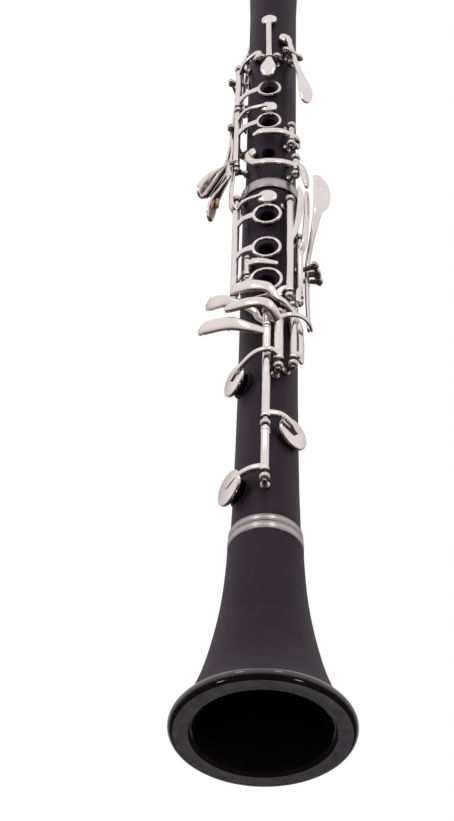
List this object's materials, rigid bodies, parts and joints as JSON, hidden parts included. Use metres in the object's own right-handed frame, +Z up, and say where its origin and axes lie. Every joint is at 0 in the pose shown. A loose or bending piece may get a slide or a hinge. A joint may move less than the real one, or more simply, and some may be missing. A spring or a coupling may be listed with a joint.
{
  "type": "clarinet",
  "caption": "Upright clarinet of five stacked sections with sprung keys, finger rings, hinge rods and a flared bell that it stands on.",
  "frame": {"origin": "centre of the bell's mouth, in the plane of the rim it stands on", "axes": "+Z up the bore towards the mouthpiece's tip; -Y is the front, with the finger holes; +X is to the right of a viewer facing the front"},
  "size_m": [0.08, 0.08, 0.673],
  "materials": {
    "bell_resin": "fine-grained black resin, polished on the rim's bead and inside the flare",
    "body_resin": "fine brushed grain, matte black",
    "ebonite": "polished black",
    "nickel": "polished nickel or silver plate",
    "steel": "turned and polished",
    "cork": "greased cork",
    "cane": "scraped cane"
  },
  "bodies": {
    "bell_section": {"bell": "bell_resin", "bell_ring": "nickel"},
    "lower_section": {"lower_joint": "body_resin", "lower_joint_bottom_ring": "nickel", "lower_joint_top_ring": "nickel", "bell_tenon_cork": "cork", "thumb_rest": "nickel", "right_ring_rod": "steel", "b_sliver_rod": "steel", "low_keys_rod": "steel", "low_keys_middle_post": "steel", "low_f_rod": "steel", "low_g_sharp_rod": "steel", "left_e_rod": "steel", "left_f_sharp_rod": "steel", "left_f_pin": "steel"},
    "upper_section": {"upper_joint": "body_resin", "middle_tenon_cork": "cork", "barrel_tenon_cork": "cork", "upper_rings_rod": "steel", "thumb_ring_rod": "steel", "c_sharp_rod": "steel", "e_flat_sliver_rod": "steel", "a_pin": "steel", "g_sharp_pin": "steel", "register_pin": "steel", "side_low_pin": "steel", "side_high_pin": "steel"},
    "barrel_section": {"barrel": "body_resin", "barrel_bottom_ring": "nickel", "barrel_top_ring": "nickel"},
    "mouthpiece_section": {"mouthpiece": "ebonite", "mouthpiece_tenon_cork": "cork", "reed": "cane"},
    "ligature_band": {"ligature": "nickel"},
    "upper_screw": {"ligature_screw_2": "nickel"},
    "lower_screw": {"ligature_screw_1": "nickel"},
    "right_ring_key": {"right_ring_key": "nickel"},
    "b_sliver_key": {"b_sliver_key": "nickel"},
    "low_g_sharp_key": {"low_g_sharp_key": "nickel"},
    "low_f_key": {"low_f_key": "nickel"},
    "low_f_sharp_key": {"low_f_sharp_key": "nickel"},
    "low_e_key": {"low_e_key": "nickel"},
    "left_e_lever": {"left_e_lever": "nickel"},
    "left_f_sharp_lever": {"left_f_sharp_lever": "nickel"},
    "left_f_lever": {"left_f_lever": "nickel"},
    "first_ring_key": {"first_ring_key": "nickel"},
    "second_ring_key": {"second_ring_key": "nickel"},
    "thumb_ring_key": {"thumb_ring_key": "nickel"},
    "c_sharp_key": {"c_sharp_key": "nickel"},
    "e_flat_sliver_key": {"e_flat_sliver_key": "nickel"},
    "a_key": {"a_key": "nickel"},
    "g_sharp_key": {"g_sharp_key": "nickel"},
    "register_key": {"register_key": "nickel"},
    "side_key_1": {"side_key_1": "nickel"},
    "side_key_2": {"side_key_2": "nickel"},
    "side_key_3": {"side_key_3": "nickel"},
    "side_key_4": {"side_key_4": "nickel"}
  },
  "joints": [
    {"name": "bell_tenon", "type": "slide", "parent": "bell_section", "child": "lower_section", "axis": [0, 0, 1], "range_m": [0, 0.0245]},
    {"name": "middle_tenon", "type": "slide", "parent": "lower_section", "child": "upper_section", "axis": [0, 0, 1], "range_m": [0, 0.016]},
    {"name": "barrel_tenon", "type": "slide", "parent": "upper_section", "child": "barrel_section", "axis": [0, 0, 1], "range_m": [0, 0.018]},
    {"name": "mouthpiece_tenon", "type": "slide", "parent": "barrel_section", "child": "mouthpiece_section", "axis": [0, 0, 1], "range_m": [0, 0.018]},
    {"name": "ligature_slide", "type": "slide", "parent": "mouthpiece_section", "child": "ligature_band", "axis": [0, 0, 1], "range_m": [0, 0.065]},
    {"name": "lower_screw_turn", "type": "hinge", "parent": "ligature_band", "child": "lower_screw", "pos_m": [0.009, 0.0184, 0.6162], "axis": [1, 0, 0], "continuous": true},
    {"name": "upper_screw_turn", "type": "hinge", "parent": "ligature_band", "child": "upper_screw", "pos_m": [0.009, 0.0184, 0.6268], "axis": [1, 0, 0], "continuous": true},
    {"name": "right_ring_key_press", "type": "hinge", "parent": "lower_section", "child": "right_ring_key", "pos_m": [-0.01661, -0.01078, 0.29], "axis": [0, 0, 1], "range_deg": [0, 4], "stiffness_Nm_per_rad": 0.017, "springref_deg": -20.05},
    {"name": "b_sliver_key_press", "type": "hinge", "parent": "lower_section", "child": "b_sliver_key", "pos_m": [-0.0097, -0.01493, 0.273], "axis": [0, 0, 1], "range_deg": [0, 8], "stiffness_Nm_per_rad": 0.017, "springref_deg": -20.05},
    {"name": "low_g_sharp_key_press", "type": "hinge", "parent": "lower_section", "child": "low_g_sharp_key", "pos_m": [0.0135, -0.01609, 0.22], "axis": [0, 0, -1], "range_deg": [0, 6], "stiffness_Nm_per_rad": 0.017, "springref_deg": -20.05},
    {"name": "low_f_key_press", "type": "hinge", "parent": "lower_section", "child": "low_f_key", "pos_m": [0.00682, -0.02039, 0.215], "axis": [0, 0, -1], "range_deg": [0, 5.5], "stiffness_Nm_per_rad": 0.017, "springref_deg": -20.05},
    {"name": "low_f_sharp_key_press", "type": "hinge", "parent": "lower_section", "child": "low_f_sharp_key", "pos_m": [0.0012, -0.02147, 0.19], "axis": [0, 0, -1], "range_deg": [0, 9], "stiffness_Nm_per_rad": 0.017, "springref_deg": -20.05},
    {"name": "low_e_key_press", "type": "hinge", "parent": "lower_section", "child": "low_e_key", "pos_m": [0.0012, -0.02147, 0.18], "axis": [0, 0, -1], "range_deg": [0, 8], "stiffness_Nm_per_rad": 0.017, "springref_deg": -20.05},
    {"name": "left_e_lever_press", "type": "hinge", "parent": "lower_section", "child": "left_e_lever", "pos_m": [0.01185, -0.01758, 0.285], "axis": [0, 0, 1], "range_deg": [0, 9], "stiffness_Nm_per_rad": 0.017, "springref_deg": -20.05},
    {"name": "left_f_sharp_lever_press", "type": "hinge", "parent": "lower_section", "child": "left_f_sharp_lever", "pos_m": [0.01639, -0.01281, 0.272], "axis": [0, 0, 1], "range_deg": [0, 9], "stiffness_Nm_per_rad": 0.017, "springref_deg": -20.05},
    {"name": "left_f_lever_press", "type": "hinge", "parent": "lower_section", "child": "left_f_lever", "pos_m": [0.02442, -0.003, 0.279], "axis": [-0.1219, -0.9925, 0], "range_deg": [0, 2.2], "stiffness_Nm_per_rad": 0.017, "springref_deg": -20.05},
    {"name": "first_ring_key_press", "type": "hinge", "parent": "upper_section", "child": "first_ring_key", "pos_m": [-0.01781, -0.00793, 0.428], "axis": [0, 0, 1], "range_deg": [0, 4], "stiffness_Nm_per_rad": 0.017, "springref_deg": -20.05},
    {"name": "second_ring_key_press", "type": "hinge", "parent": "upper_section", "child": "second_ring_key", "pos_m": [-0.01781, -0.00793, 0.384], "axis": [0, 0, 1], "range_deg": [0, 4], "stiffness_Nm_per_rad": 0.017, "springref_deg": -20.05},
    {"name": "thumb_ring_key_press", "type": "hinge", "parent": "upper_section", "child": "thumb_ring_key", "pos_m": [-0.01119, 0.01333, 0.4275], "axis": [0, 0, -1], "range_deg": [0, 7], "stiffness_Nm_per_rad": 0.017, "springref_deg": -20.05},
    {"name": "c_sharp_key_press", "type": "hinge", "parent": "upper_section", "child": "c_sharp_key", "pos_m": [0.01427, -0.01285, 0.353], "axis": [0, 0, 1], "range_deg": [0, 6], "stiffness_Nm_per_rad": 0.017, "springref_deg": -20.05},
    {"name": "e_flat_sliver_key_press", "type": "hinge", "parent": "upper_section", "child": "e_flat_sliver_key", "pos_m": [0.01191, -0.01323, 0.379], "axis": [0, 0, -1], "range_deg": [0, 8], "stiffness_Nm_per_rad": 0.017, "springref_deg": -20.05},
    {"name": "a_key_press", "type": "hinge", "parent": "upper_section", "child": "a_key", "pos_m": [0, -0.0194, 0.4415], "axis": [1, 0, 0], "range_deg": [0, 5], "stiffness_Nm_per_rad": 0.017, "springref_deg": -20.05},
    {"name": "g_sharp_key_press", "type": "hinge", "parent": "upper_section", "child": "g_sharp_key", "pos_m": [0.01273, -0.01464, 0.449], "axis": [0.7547, 0.6561, 0], "range_deg": [0, 7], "stiffness_Nm_per_rad": 0.017, "springref_deg": -20.05},
    {"name": "register_key_press", "type": "hinge", "parent": "upper_section", "child": "register_key", "pos_m": [0, 0.0192, 0.485], "axis": [-1, 0, 0], "range_deg": [0, 5], "stiffness_Nm_per_rad": 0.017, "springref_deg": -20.05},
    {"name": "side_key_1_press", "type": "hinge", "parent": "upper_section", "child": "side_key_1", "pos_m": [-0.01953, 0.00433, 0.398], "axis": [-0.2164, -0.9763, 0], "range_deg": [0, 3], "stiffness_Nm_per_rad": 0.017, "springref_deg": -20.05},
    {"name": "side_key_2_press", "type": "hinge", "parent": "upper_section", "child": "side_key_2", "pos_m": [-0.01953, 0.00433, 0.398], "axis": [-0.2164, -0.9763, 0], "range_deg": [0, 3.5], "stiffness_Nm_per_rad": 0.017, "springref_deg": -20.05},
    {"name": "side_key_3_press", "type": "hinge", "parent": "upper_section", "child": "side_key_3", "pos_m": [-0.01992, 0.00441, 0.438], "axis": [-0.2164, -0.9763, 0], "range_deg": [0, 2.5], "stiffness_Nm_per_rad": 0.017, "springref_deg": -20.05},
    {"name": "side_key_4_press", "type": "hinge", "parent": "upper_section", "child": "side_key_4", "pos_m": [-0.01992, 0.00441, 0.438], "axis": [-0.2164, -0.9763, 0], "range_deg": [0, 2.5], "stiffness_Nm_per_rad": 0.017, "springref_deg": -20.05}
  ],
  "couplings": [
    {"joint": "left_e_lever_press", "follows": "low_e_key_press", "ratio": 1.1},
    {"joint": "left_f_sharp_lever_press", "follows": "low_f_sharp_key_press", "ratio": 1},
    {"joint": "left_f_lever_press", "follows": "low_f_key_press", "ratio": 0.385}
  ]
}
